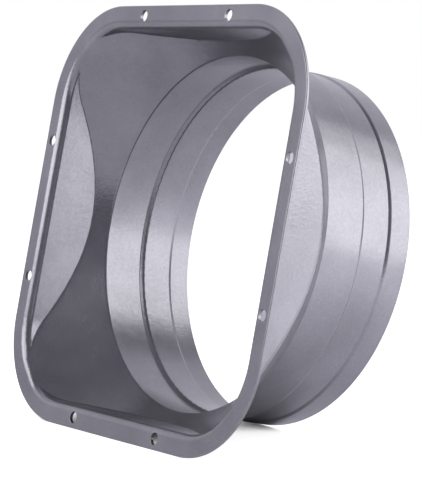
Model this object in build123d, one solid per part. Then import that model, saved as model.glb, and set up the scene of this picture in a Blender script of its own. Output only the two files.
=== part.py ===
from build123d import *
import math
import os

os.makedirs("parts", exist_ok=True)

# Frame, in millimetres
# The flange stands upright: its flat face lies in the plane Y = 0 and looks along -Y.
# The collar runs along +Y, X is to the right and +Z is up. The origin is the centre of the flat face.
# Depths below are distances behind the flat face, along +Y.

# Sheet with its paint, and the rounding of the flange's cut edge
sheet = 1.4
edge_round = 0.4

# Collar with a recessed band between two joggles; the second one rises less and more gently
collar_outer_diameter = 152.1
overall_depth = 74.5
end_band_length = 9.45
groove_length = 16.4
groove_step = 1.6
joggle_angle = 50.0
end_joggle_rise = 0.65
end_joggle_angle = 27.0
joggle_tight_radius = 0.5
end_outer_round = 0.6
end_inner_round = 0.3

# Square mouth: straight side walls just outside the collar's bore, a bend and a flat rim
wall_offset = 5.25
mouth_bend_radius = 3.5
rim_width = 6.0
flange_corner_radius = 41.8

# Shallow cone from the collar's lip to the mouth's corners, where a little straight wall is left
lip_depth = 30.5
lip_bend_radius = 1.9
corner_wall_depth = 1.6

# Fold where a side wall runs into the cone, measured on the air side
wall_fold_radius = 1.6

# Screw holes: two on each side, near the outer edge
hole_diameter = 4.8
hole_edge_distance = 4.4
hole_pair_spacing = 60.0
hole_edge_round = 0.2

# Worked out from the sizes above
collar_inner_radius = collar_outer_diameter / 2 - sheet
groove_inner_radius = collar_inner_radius - groove_step
end_inner_radius = groove_inner_radius + end_joggle_rise
groove_end_depth = overall_depth - end_band_length
groove_start_depth = groove_end_depth - groove_length
joggle_length = groove_step / math.tan(math.radians(joggle_angle))
end_joggle_length = end_joggle_rise / math.tan(math.radians(end_joggle_angle))
wall_distance = collar_inner_radius + wall_offset
half_side = wall_distance + mouth_bend_radius + rim_width
wall_corner_radius = flange_corner_radius - rim_width - mouth_bend_radius
corner_reach = (wall_distance - wall_corner_radius) * math.sqrt(2) + wall_corner_radius
cone_slope = (corner_reach - collar_inner_radius) / (lip_depth - corner_wall_depth)
cone_mouth_radius = collar_inner_radius + lip_depth * cone_slope
hole_distance = half_side - hole_edge_distance
disc_radius = half_side * 1.5
clearance = 6.0

across = Plane(origin=(0, 0, 0), x_dir=(1, 0, 0), z_dir=(0, 1, 0))


def offset_corners(points, distance):
    """Corners of the same broken line moved sideways by a distance, on the side away from the duct's air."""
    normals = []
    for (r0, y0), (r1, y1) in zip(points, points[1:]):
        length = math.hypot(r1 - r0, y1 - y0)
        normals.append(((y1 - y0) / length, -(r1 - r0) / length))
    moved = [(points[0][0] + normals[0][0] * distance, points[0][1] + normals[0][1] * distance)]
    for corner, before, after in zip(points[1:], normals, normals[1:]):
        scale = distance / (1 + before[0] * after[0] + before[1] * after[1])
        moved.append((corner[0] + (before[0] + after[0]) * scale, corner[1] + (before[1] + after[1]) * scale))
    last = points[-1]
    moved.append((last[0] + normals[-1][0] * distance, last[1] + normals[-1][1] * distance))
    return moved


def turned_solid(points, radii, cap_depth, foot_depth):
    """Solid of revolution about Y inside a broken line with rounded corners, from cap_depth to foot_depth."""
    first = points[0]
    last = points[-1]
    closing = [last, (last[0], foot_depth), (0, foot_depth), (0, cap_depth), (first[0], cap_depth), first]
    closing = [here for here, after in zip(closing, closing[1:]) if math.dist(here, after) > 1e-6] + [first]
    profile = make_face(Curve() + FilletPolyline(*points, radius=radii) + Polyline(*closing))
    return revolve(profile, Axis.Y, 360)


def rounded_prism(half_width, corner_radius, start, end):
    """Prism along Y whose outline is a square with round corners."""
    outline = across.offset(start) * RectangleRounded(2 * half_width, 2 * half_width, corner_radius)
    return extrude(outline, end - start)


def loop_edges(solid, depth, reach):
    """Edges of the loop that lies in one plane across the axis and reaches this far along X and Z."""
    found = []
    for edge in solid.edges():
        box = edge.bounding_box()
        furthest = max(abs(box.min.X), abs(box.max.X), abs(box.min.Z), abs(box.max.Z))
        level = max(abs(box.min.Y - depth), abs(box.max.Y - depth))
        if level < 1e-4 and abs(furthest - reach) < 1e-3:
            found.append(edge)
    return found


def duct_section():
    """The sheet's section on the air side, as corners from the flat face to the end of the collar."""
    inner = collar_inner_radius
    groove = groove_inner_radius
    corners = [
        (disc_radius, 0.0),
        (cone_mouth_radius, 0.0),
        (inner, lip_depth),
        (inner, groove_start_depth),
        (groove, groove_start_depth + joggle_length),
        (groove, groove_end_depth - end_joggle_length),
        (end_inner_radius, groove_end_depth),
        (end_inner_radius, overall_depth),
    ]
    loose = joggle_tight_radius + sheet
    air_side = [mouth_bend_radius, lip_bend_radius, joggle_tight_radius, loose, loose, joggle_tight_radius]
    far_side = [mouth_bend_radius - sheet, lip_bend_radius - sheet, loose, joggle_tight_radius,
                joggle_tight_radius, loose]
    return corners, air_side, far_side


def slice_between(solid, start, end):
    """The part of a solid between two depths."""
    slab = across.offset(start) * Rectangle(4 * disc_radius, 4 * disc_radius)
    return solid & extrude(slab, end - start)


def folded_form(half_width, corner_radius, corners, radii, foot_depth, fold_radius):
    """Straight square prism cut to the cone and collar, with the fold between walls and cone rounded."""
    lip_radius, depth = corners[2]
    mouth = (lip_radius + (depth + clearance) * cone_slope, -clearance)
    turned = turned_solid([mouth] + corners[2:], radii[1:], -clearance, foot_depth)
    form = rounded_prism(half_width, corner_radius, -clearance, foot_depth) & turned
    folds = []
    for edge in form.edges():
        middle = edge.position_at(0.5)
        box = edge.bounding_box()
        cone_radius = lip_radius + (depth - middle.Y) * cone_slope
        if box.size.Y > fold_radius / 4 and abs(math.hypot(middle.X, middle.Z) - cone_radius) < 0.01:
            folds.append(edge)
    return fillet(folds, fold_radius)


def flared_form(square, half_width, depth, bend_radius, turned):
    """Square mouth that flares into the flat face with a bend, cut down to the cone and collar."""
    return fillet(loop_edges(square, depth, half_width), bend_radius) & turned


def outer_form():
    """Everything inside the sheet's far side: flange plate, square mouth, cone and collar, still filled."""
    width = wall_distance + sheet
    corner_radius = wall_corner_radius + sheet
    corners, air_side, far_side = duct_section()
    corners = offset_corners(corners, sheet)
    plate = rounded_prism(half_side, flange_corner_radius, 0, sheet)
    plate = fillet(loop_edges(plate, 0.0, half_side) + loop_edges(plate, sheet, half_side), edge_round)
    square = plate + rounded_prism(width, corner_radius, 0, overall_depth)
    turned = turned_solid(corners, far_side, 0.0, overall_depth)
    flared = flared_form(square, width, sheet, mouth_bend_radius - sheet, turned)
    folded = folded_form(width, corner_radius, corners, far_side, overall_depth, wall_fold_radius + sheet)
    mouth = slice_between(flared, -clearance, mouth_bend_radius)
    return mouth + slice_between(folded, mouth_bend_radius, overall_depth + clearance)


def air_form():
    """The air inside the sheet: flared square mouth cut down to the cone, and the bore of the collar."""
    foot_depth = overall_depth + clearance
    corners, air_side, far_side = duct_section()
    square = rounded_prism(disc_radius, flange_corner_radius, -clearance, 0)
    square = square + rounded_prism(wall_distance, wall_corner_radius, -clearance, foot_depth)
    turned = turned_solid(corners, air_side, -clearance, foot_depth)
    flared = flared_form(square, wall_distance, 0.0, mouth_bend_radius, turned)
    folded = folded_form(wall_distance, wall_corner_radius, corners, air_side, foot_depth, wall_fold_radius)
    mouth = slice_between(flared, -clearance, mouth_bend_radius)
    return mouth + slice_between(folded, mouth_bend_radius, foot_depth)


def screw_holes(solid):
    """The flange with its eight round holes and their softened front edges."""
    half_pair = hole_pair_spacing / 2
    centres = []
    for side in (-1, 1):
        for end in (-1, 1):
            centres.append((side * hole_distance, end * half_pair))
            centres.append((end * half_pair, side * hole_distance))
    for x, z in centres:
        drill = Plane(origin=(x, -clearance, z), x_dir=(1, 0, 0), z_dir=(0, 1, 0)) * Circle(hole_diameter / 2)
        solid = solid - extrude(drill, 2 * clearance)
    rims = []
    for edge in solid.edges().filter_by(GeomType.CIRCLE):
        if abs(edge.radius - hole_diameter / 2) < 1e-3 and abs(edge.arc_center.Y) < 1e-3:
            rims.append(edge)
    return fillet(rims, hole_edge_round)


def end_circle(solid, radius):
    """The round edge at the collar's open end that has this radius."""
    found = []
    for edge in solid.edges().filter_by(GeomType.CIRCLE):
        if abs(edge.arc_center.Y - overall_depth) < 1e-3 and abs(edge.radius - radius) < 1e-3:
            found.append(edge)
    return found


def duct_flange():
    body = outer_form() - air_form()
    body = fillet(end_circle(body, end_inner_radius + sheet), end_outer_round)
    body = fillet(end_circle(body, end_inner_radius), end_inner_round)
    return screw_holes(body)


flange = duct_flange()
flange.label = "duct_flange"
flange.color = Color(0.52, 0.51, 0.56)
export_step(flange, "parts/duct_flange.step")
print("solids", len(flange.solids()), "volume mm3", round(flange.volume, 1), "valid", flange.is_valid)
box = flange.bounding_box()
print("size", [round(v, 3) for v in (box.size.X, box.size.Y, box.size.Z)])
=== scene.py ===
"""Duct flange in grey hammered paint: its finish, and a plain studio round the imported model."""

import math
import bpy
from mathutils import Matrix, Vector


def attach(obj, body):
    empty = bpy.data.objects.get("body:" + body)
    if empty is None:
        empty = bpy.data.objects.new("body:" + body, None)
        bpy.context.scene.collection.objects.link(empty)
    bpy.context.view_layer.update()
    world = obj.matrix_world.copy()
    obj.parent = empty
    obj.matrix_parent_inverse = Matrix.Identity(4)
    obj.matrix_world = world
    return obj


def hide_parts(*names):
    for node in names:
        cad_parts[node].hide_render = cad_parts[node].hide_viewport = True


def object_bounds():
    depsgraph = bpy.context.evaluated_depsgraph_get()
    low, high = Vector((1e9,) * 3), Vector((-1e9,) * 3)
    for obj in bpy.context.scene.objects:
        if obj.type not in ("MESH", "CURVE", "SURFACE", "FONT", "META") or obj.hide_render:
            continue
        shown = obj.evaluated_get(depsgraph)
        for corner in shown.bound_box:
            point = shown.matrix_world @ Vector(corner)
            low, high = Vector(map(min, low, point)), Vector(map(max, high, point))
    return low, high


bl_info = {
    "name": "Duct Flange",
    "version": (1, 0, 0),
    "blender": (4, 5, 0),
    "location": "3D View > Sidebar > Duct Flange",
    "description": "Paints a pressed square-to-round duct flange and sets it in a plain studio",
    "category": "Object",
}

import bmesh
import bpy
from bpy.props import FloatProperty, FloatVectorProperty, PointerProperty
from bpy.types import Operator, Panel, PropertyGroup
from mathutils import Matrix, Quaternion, Vector

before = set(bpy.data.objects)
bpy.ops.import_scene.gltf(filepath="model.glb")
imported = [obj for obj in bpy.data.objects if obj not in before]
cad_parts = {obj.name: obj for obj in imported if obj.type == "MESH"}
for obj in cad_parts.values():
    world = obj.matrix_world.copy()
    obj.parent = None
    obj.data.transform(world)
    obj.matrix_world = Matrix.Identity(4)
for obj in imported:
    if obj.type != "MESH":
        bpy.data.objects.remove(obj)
cad_box = [list(corner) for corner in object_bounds()]

# Vertices this near are one vertex, and an edge that turns by more than this stays sharp
WELD_DISTANCE = 2e-6
CREASE = math.radians(45)

# Noise cells in a metre of paint: soft changes of tone, patches with more grain, dents and pits
BLOTCH_SCALE = 32.0
PATCH_SCALE = 22.0
SWIRL_SCALE = 34.0
PIT_SCALE = 75.0
# Size of the grain's cells as a share of the orange peel's
GRAIN_TO_PEEL = 0.28

# Set down, the flange rests on its lower edge and the collar's rim, so the floor leans,
# and touches the lower edge this far behind the flat face
FLOOR_LEAN = math.radians(10.98)
FLOOR_TOUCH = 0.0011
FLOOR_RADIUS = 4.0
FLOOR_SEGMENTS = 96

# Reach of the painted contact shadow, and of the wide painted shadow under the flange,
# and the floor's own glow
CONTACT_REACH = 0.012
SHADOW_REACH = 0.07
FLOOR_GLOW = 0.85

# Softboxes: name, direction from the flange, distance, width and height, roll, power setting
SOFTBOXES = (
    ("key_softbox", (0.69, 0.61, 0.455), 0.95, (0.70, 0.92), math.radians(-25), "key_power"),
    ("top_softbox", (0.285, 0.536, 0.794), 0.49, (0.14, 0.12), 0.0, "top_power"),
    ("fill_softbox", (-0.13, -0.97, 0.30), 1.0, (1.05, 0.7), 0.0, "fill_power"),
)

# Parts of the white room with less light: direction, reach and blur in degrees, share left
ROOM_WALLS = (
    ((0.0, 0.3, 1.0), 70.0, 25.0, 0.68),
    ((-0.84, -0.46, -0.28), 26.0, 16.0, 0.55),
    ((0.3, -0.5, 0.8), 45.0, 15.0, 0.16),
    ((-0.55, 0.56, 0.62), 28.0, 12.0, 0.88),
    ((0.30, 0.57, 0.77), 17.0, 7.0, 0.24),
    ((0.0, 1.0, 0.0), 16.0, 8.0, 0.24),
    ((0.82, -0.57, 0.0), 36.0, 15.0, 0.155),
)
# Tint of the room's light, and the blue that is there even where its light is gone
ROOM_TINT = (0.98, 0.98, 1.04)
ROOM_BLUE = 0.035

SENSOR_WIDTH = 36.0


class Wire:
    """An output socket of a shader that can be written into sums and products."""

    def __init__(self, net, socket):
        self.net = net
        self.socket = socket

    def math(self, operation, *values):
        return self.net.add("ShaderNodeMath", {"operation": operation}, dict(enumerate(values)))

    def __add__(self, other):
        return self.math("ADD", self, other)

    __radd__ = __add__

    def __sub__(self, other):
        return self.math("SUBTRACT", self, other)

    def __rsub__(self, other):
        return self.math("SUBTRACT", other, self)

    def __mul__(self, other):
        return self.math("MULTIPLY", self, other)

    __rmul__ = __mul__

    def ramp(self, low, high):
        """0 below low, 1 above high, and a smooth rise between them."""
        inputs = {"Value": self, "From Min": low, "From Max": high}
        return self.net.add("ShaderNodeMapRange", {"interpolation_type": "SMOOTHSTEP"}, inputs)


class Net:
    """The node tree of one material or world, cleared and built from nothing."""

    def __init__(self, owner):
        owner.use_nodes = True
        self.tree = owner.node_tree
        self.tree.nodes.clear()

    def ray(self, kind):
        """1 for rays of a kind, such as Camera or Glossy, and 0 for the others."""
        return self.add("ShaderNodeLightPath", output=f"Is {kind} Ray")

    def noise(self, place, scale, detail, roughness, distortion=0.0):
        """Soft noise from 0 to 1 with this many cells in a metre."""
        return self.add("ShaderNodeTexNoise", None, {
            "Vector": place, "Scale": scale, "Detail": detail,
            "Roughness": roughness, "Distortion": distortion})

    def dot(self, first, second):
        """Dot product of two vectors, such as how far a place lies in a direction."""
        settings = {"operation": "DOT_PRODUCT"}
        return self.add("ShaderNodeVectorMath", settings, {0: first, 1: second}, "Value")

    def grey(self, value):
        """The colour whose three channels have this value."""
        return self.add("ShaderNodeCombineColor", None, {
            "Red": value, "Green": value, "Blue": value})

    def add(self, kind, settings=None, inputs=None, output=0):
        """Adds a node, sets it, feeds its sockets and returns one of its outputs."""
        node = self.tree.nodes.new(kind)
        for name, value in (settings or {}).items():
            setattr(node, name, value)
        for name, value in (inputs or {}).items():
            if isinstance(value, Wire):
                self.tree.links.new(value.socket, node.inputs[name])
            else:
                node.inputs[name].default_value = value
        return Wire(self, node.outputs[output]) if len(node.outputs) else None


def rgba(color):
    return (*color, 1.0)


def room_light(net, strength):
    """Colour of the room's light: near white where it is strong, bluish where little is left."""
    red, green, blue = ROOM_TINT
    return net.add("ShaderNodeCombineColor", None, {
        "Red": strength * red, "Green": strength * green, "Blue": strength * blue + ROOM_BLUE})


class DuctFlangePaint(PropertyGroup):
    paint_color: FloatVectorProperty(
        name="Paint", description="Colour of the grey paint", subtype="COLOR",
        size=3, min=0.0, max=1.0, default=(0.292, 0.286, 0.310))
    metal_share: FloatProperty(
        name="Metallic", description="Share of metal flake in the paint",
        subtype="FACTOR", min=0.0, max=1.0, default=0.75)
    roughness: FloatProperty(
        name="Roughness", description="Roughness of the paint",
        subtype="FACTOR", min=0.0, max=1.0, default=0.25)
    grain_size: FloatProperty(
        name="Grain", description="Distance between the bumps of the hammered grain",
        subtype="DISTANCE", unit="LENGTH", min=0.0001, max=0.01, default=0.0011)
    grain_height: FloatProperty(
        name="Grain height", description="Height of the hammered grain",
        subtype="DISTANCE", unit="LENGTH", min=0.0, max=0.001, default=0.00008)


class DuctFlangeStudio(PropertyGroup):
    floor_color: FloatVectorProperty(
        name="Floor", description="Colour of the floor", subtype="COLOR",
        size=3, min=0.0, max=1.0, default=(0.8, 0.8, 0.8))
    top_power: FloatProperty(
        name="Top light", description="Power of the small softbox above the collar",
        subtype="POWER", unit="POWER", min=0.0, default=0.075)
    key_power: FloatProperty(
        name="Key light", description="Power of the upright softbox behind the right side",
        subtype="POWER", unit="POWER", min=0.0, default=4.2)
    fill_power: FloatProperty(
        name="Fill light", description="Power of the softbox in front of the flat face",
        subtype="POWER", unit="POWER", min=0.0, default=5.3)
    surround: FloatProperty(
        name="Surround", description="Level of the light from the walls of the room",
        min=0.0, max=2.0, default=0.68)


class DuctFlangeCamera(PropertyGroup):
    eye: FloatVectorProperty(
        name="Eye", description="Place of the camera", subtype="TRANSLATION",
        unit="LENGTH", size=3, default=(0.7452, -0.5057, -0.0316))
    target: FloatVectorProperty(
        name="Target", description="Point that the camera looks at", subtype="TRANSLATION",
        unit="LENGTH", size=3, default=(0.0, 0.03248, -0.00346))
    roll: FloatProperty(
        name="Roll", description="Turn of the camera about its view direction",
        subtype="ANGLE", unit="ROTATION", default=math.radians(9.926))
    lens: FloatProperty(
        name="Lens", description="Focal length in millimetres, for a sensor 36 mm wide",
        min=1.0, default=165.1)


def grey_paint(settings):
    """Grey enamel with a fine hammered grain, faint blotches, a few pits, and painted light on its
    outer side.
    """
    material = bpy.data.materials.new("hammered_grey_paint")
    net = Net(material)
    place = net.add("ShaderNodeTexCoord", output="Object")
    grain = net.noise(place, 1 / settings.grain_size, 2.0, 0.55)
    peel = net.noise(place, GRAIN_TO_PEEL / settings.grain_size, 1.0, 0.5)
    blotch = net.noise(place, BLOTCH_SCALE, 3.0, 0.6)
    grainy = net.noise(place, PATCH_SCALE, 2.0, 0.5).ramp(0.4, 0.65)
    swirl = net.noise(place, SWIRL_SCALE, 2.0, 0.5, 0.8)
    pit = net.add("ShaderNodeTexVoronoi", None, {
        "Vector": place, "Scale": PIT_SCALE, "Randomness": 1.0}, "Distance")
    pits = 1 - pit.ramp(0.018, 0.034)
    # Painted light: the side of the sheet facing away from the duct's axis is made a little
    # lighter, and the side facing the axis a little darker
    outward = net.add("ShaderNodeVectorMath", {"operation": "MULTIPLY"}, {
        0: place, 1: (1.0, 0.0, 1.0)})
    outward = net.add("ShaderNodeVectorMath", {"operation": "NORMALIZE"}, {0: outward})
    normal = net.add("ShaderNodeNewGeometry", output="Normal")
    painted_outer_light = net.dot(outward, normal).ramp(-0.4, 0.4)
    tone = (blotch - 0.5) * 0.5 + (grain - 0.5) * 0.3 + 0.94 + painted_outer_light * 0.12 - pits * 0.45
    base = net.add("ShaderNodeVectorMath", {"operation": "SCALE"}, {
        0: tuple(settings.paint_color), "Scale": tone})
    height = grain * (grainy * 0.5 + 0.3) + peel * 0.4 - pits * 0.7 + swirl * 1.5
    bump = net.add("ShaderNodeBump", None, {
        "Strength": 1.0, "Distance": settings.grain_height, "Height": height})
    shader = net.add("ShaderNodeBsdfPrincipled", None, {
        "Base Color": base,
        "Metallic": settings.metal_share,
        "Roughness": settings.roughness + (blotch - 0.5) * 0.12,
        "Specular IOR Level": 0.5,
        "Normal": bump})
    net.add("ShaderNodeOutputMaterial", None, {"Surface": shader})
    return material


def white_floor(color):
    """White floor that reads as the background, with a painted shadow in its glow and a real one in
    its lit part.

    The wide painted shadow shows under the flange, and only the painted contact shadow
    beside and behind it.
    What the paint mirrors of the floor is a painted reflection, brighter towards the key light,
    and darkened close by as painted shade.
    """
    material = bpy.data.materials.new("white_floor")
    net = Net(material)
    place = net.add("ShaderNodeTexCoord", output="Object")
    across = net.dot(place, (1.0, 0.0, 0.0))
    along = net.dot(place, (0.0, 1.0, 0.0))
    toward_key = net.dot(place, (0.6, 0.8, 0.0))
    # Painted shadow: ambient occlusion darkens the floor's glow near the flange
    near = net.add("ShaderNodeAmbientOcclusion", None, {"Distance": CONTACT_REACH}, "AO")
    wide = net.add("ShaderNodeAmbientOcclusion", None, {"Distance": SHADOW_REACH}, "AO")
    beside = across.ramp(-0.006, 0.04) + across.ramp(-0.085, -0.095) + along.ramp(0.028, 0.04)
    shade = wide.ramp(0.0, 0.5)
    shown = shade + (near.ramp(0.0, 0.2) - shade) * beside.ramp(0.0, 1.0)
    seen = (net.ray("Camera") + net.ray("Transmission")) * shown * FLOOR_GLOW
    # Painted reflection for glossy rays: brighter towards the key light, darker close by as painted
    # shade
    painted_floor_light = toward_key.ramp(0.0, 0.33) * 0.75 - toward_key.ramp(0.5, 1.0) * 0.55 + 0.2
    mirrored = net.add("ShaderNodeVectorMath", {"operation": "SCALE"}, {
        0: room_light(net, painted_floor_light), "Scale": net.ray("Glossy") * wide.ramp(0.0, 0.7)})
    lit = net.add("ShaderNodeBsdfDiffuse", None, {"Color": rgba(color)})
    glow = net.add("ShaderNodeEmission", None, {"Color": net.grey(seen), "Strength": 1.0})
    painted_reflection = net.add("ShaderNodeEmission", None, {"Color": mirrored, "Strength": 1.0})
    lights = net.add("ShaderNodeAddShader", None, {0: glow, 1: painted_reflection})
    both = net.add("ShaderNodeAddShader", None, {0: lights, 1: lit})
    net.add("ShaderNodeOutputMaterial", None, {"Surface": both})
    return material


def studio_world(level):
    """White background, and a room of a plain level with darker walls where no lamp stands."""
    world = bpy.data.worlds.new("studio")
    bpy.context.scene.world = world
    net = Net(world)
    toward = net.add("ShaderNodeTexCoord", output="Generated")
    room = 1.0
    for direction, reach, blur, share in ROOM_WALLS:
        facing = net.dot(toward, Vector(direction).normalized())
        outer, inner = math.radians(reach + blur), math.radians(reach - blur)
        room = room + facing.ramp(math.cos(outer), math.cos(inner)) * (share - room)
    strength = room * (net.ray("Glossy") * (1.0 - level) + level)
    wall = net.add("ShaderNodeBackground", None, {
        "Color": room_light(net, strength), "Strength": 1.0})
    white = net.add("ShaderNodeBackground", None, {"Color": (1, 1, 1, 1), "Strength": 1.0})
    seen = net.ray("Camera") + net.ray("Transmission")
    shader = net.add("ShaderNodeMixShader", None, {0: seen, 1: wall, 2: white})
    net.add("ShaderNodeOutputWorld", None, {"Surface": shader})


def pressed_sheet(name, node):
    """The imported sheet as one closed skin, so that no seam of its surfaces shows in the shading."""
    bm = bmesh.new()
    bm.from_mesh(node.data)
    bmesh.ops.remove_doubles(bm, verts=bm.verts, dist=WELD_DISTANCE)
    for face in bm.faces:
        face.smooth = True
    for edge in bm.edges:
        edge.smooth = edge.calc_face_angle(0.0) < CREASE
    mesh = bpy.data.meshes.new(name)
    bm.to_mesh(mesh)
    bm.free()
    piece = bpy.data.objects.new(name, mesh)
    bpy.context.scene.collection.objects.link(piece)
    even = piece.modifiers.new("even_shading", "WEIGHTED_NORMAL")
    even.mode = "FACE_AREA"
    even.keep_sharp = True
    return piece


def softbox(name, direction, distance, size, roll, power):
    """Rectangular area lamp aimed at the middle of the flange, upright or rolled."""
    data = bpy.data.lights.new(name, "AREA")
    data.shape = "RECTANGLE"
    data.size, data.size_y = size
    data.energy = power
    lamp = bpy.data.objects.new(name, data)
    bpy.context.scene.collection.objects.link(lamp)
    away = Vector(direction).normalized()
    middle = (Vector(cad_box[0]) + Vector(cad_box[1])) / 2
    lamp.location = middle + away * distance
    lamp.rotation_mode = "QUATERNION"
    lamp.rotation_quaternion = (-away).to_track_quat("-Z", "Y") @ Quaternion((0, 0, 1), roll)


class DUCT_OT_make_flange(Operator):
    """Close the pressed sheet's skin and give it its grey paint"""
    bl_idname = "duct_flange.make_flange"
    bl_label = "Make Flange"

    def execute(self, context):
        flange = pressed_sheet("pressed_flange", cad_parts["duct_flange"])
        flange.data.materials.append(grey_paint(context.scene.duct_flange_paint))
        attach(flange, "root")
        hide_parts("duct_flange")
        return {"FINISHED"}


class DUCT_OT_set_studio(Operator):
    """Add the floor, the lamps, the surround and the camera"""
    bl_idname = "duct_flange.set_studio"
    bl_label = "Set Studio"

    def execute(self, context):
        studio = context.scene.duct_flange_studio
        bm = bmesh.new()
        bmesh.ops.create_circle(
            bm, cap_ends=True, segments=FLOOR_SEGMENTS, radius=FLOOR_RADIUS)
        lean = Matrix.Rotation(FLOOR_LEAN, 4, "X")
        touch = Matrix.Translation((0, FLOOR_TOUCH, cad_box[0][2]))
        bmesh.ops.transform(bm, matrix=touch @ lean, verts=bm.verts)
        mesh = bpy.data.meshes.new("studio_floor")
        bm.to_mesh(mesh)
        bm.free()
        mesh.materials.append(white_floor(studio.floor_color))
        floor = bpy.data.objects.new("studio_floor", mesh)
        context.scene.collection.objects.link(floor)
        for name, direction, distance, size, roll, power in SOFTBOXES:
            softbox(name, direction, distance, size, roll, getattr(studio, power))
        studio_world(studio.surround)
        self.set_camera(context)
        context.scene.view_settings.view_transform = "Standard"
        return {"FINISHED"}

    def set_camera(self, context):
        settings = context.scene.duct_flange_camera
        data = bpy.data.cameras.new("camera")
        data.sensor_width = SENSOR_WIDTH
        data.lens = settings.lens
        data.clip_start = 0.01
        data.clip_end = 20.0
        camera = bpy.data.objects.new("camera", data)
        context.scene.collection.objects.link(camera)
        aim = (Vector(settings.target) - Vector(settings.eye)).to_track_quat("-Z", "Y")
        turn = aim.to_matrix().to_4x4() @ Matrix.Rotation(settings.roll, 4, "Z")
        camera.matrix_world = Matrix.Translation(settings.eye) @ turn
        context.scene.camera = camera


class DUCT_PT_flange(Panel):
    bl_idname = "DUCT_PT_flange"
    bl_label = "Duct Flange"
    bl_space_type = "VIEW_3D"
    bl_region_type = "UI"
    bl_category = "Duct Flange"

    def draw(self, context):
        scene = context.scene
        steps = (
            (scene.duct_flange_paint, "duct_flange.make_flange"),
            (scene.duct_flange_studio, "duct_flange.set_studio"),
            (scene.duct_flange_camera, None),
        )
        for settings, operator in steps:
            box = self.layout.box()
            for name in settings.__annotations__:
                box.prop(settings, name)
            if operator:
                box.operator(operator)


CLASSES = (DuctFlangePaint, DuctFlangeStudio, DuctFlangeCamera, DUCT_OT_make_flange,
           DUCT_OT_set_studio, DUCT_PT_flange)


def register():
    for cls in CLASSES:
        bpy.utils.register_class(cls)
    bpy.types.Scene.duct_flange_paint = PointerProperty(type=DuctFlangePaint)
    bpy.types.Scene.duct_flange_studio = PointerProperty(type=DuctFlangeStudio)
    bpy.types.Scene.duct_flange_camera = PointerProperty(type=DuctFlangeCamera)


def unregister():
    del bpy.types.Scene.duct_flange_camera
    del bpy.types.Scene.duct_flange_studio
    del bpy.types.Scene.duct_flange_paint
    for cls in reversed(CLASSES):
        bpy.utils.unregister_class(cls)


def main():
    register()
    bpy.ops.duct_flange.make_flange()
    bpy.ops.duct_flange.set_studio()


if __name__ == "__main__":
    main()
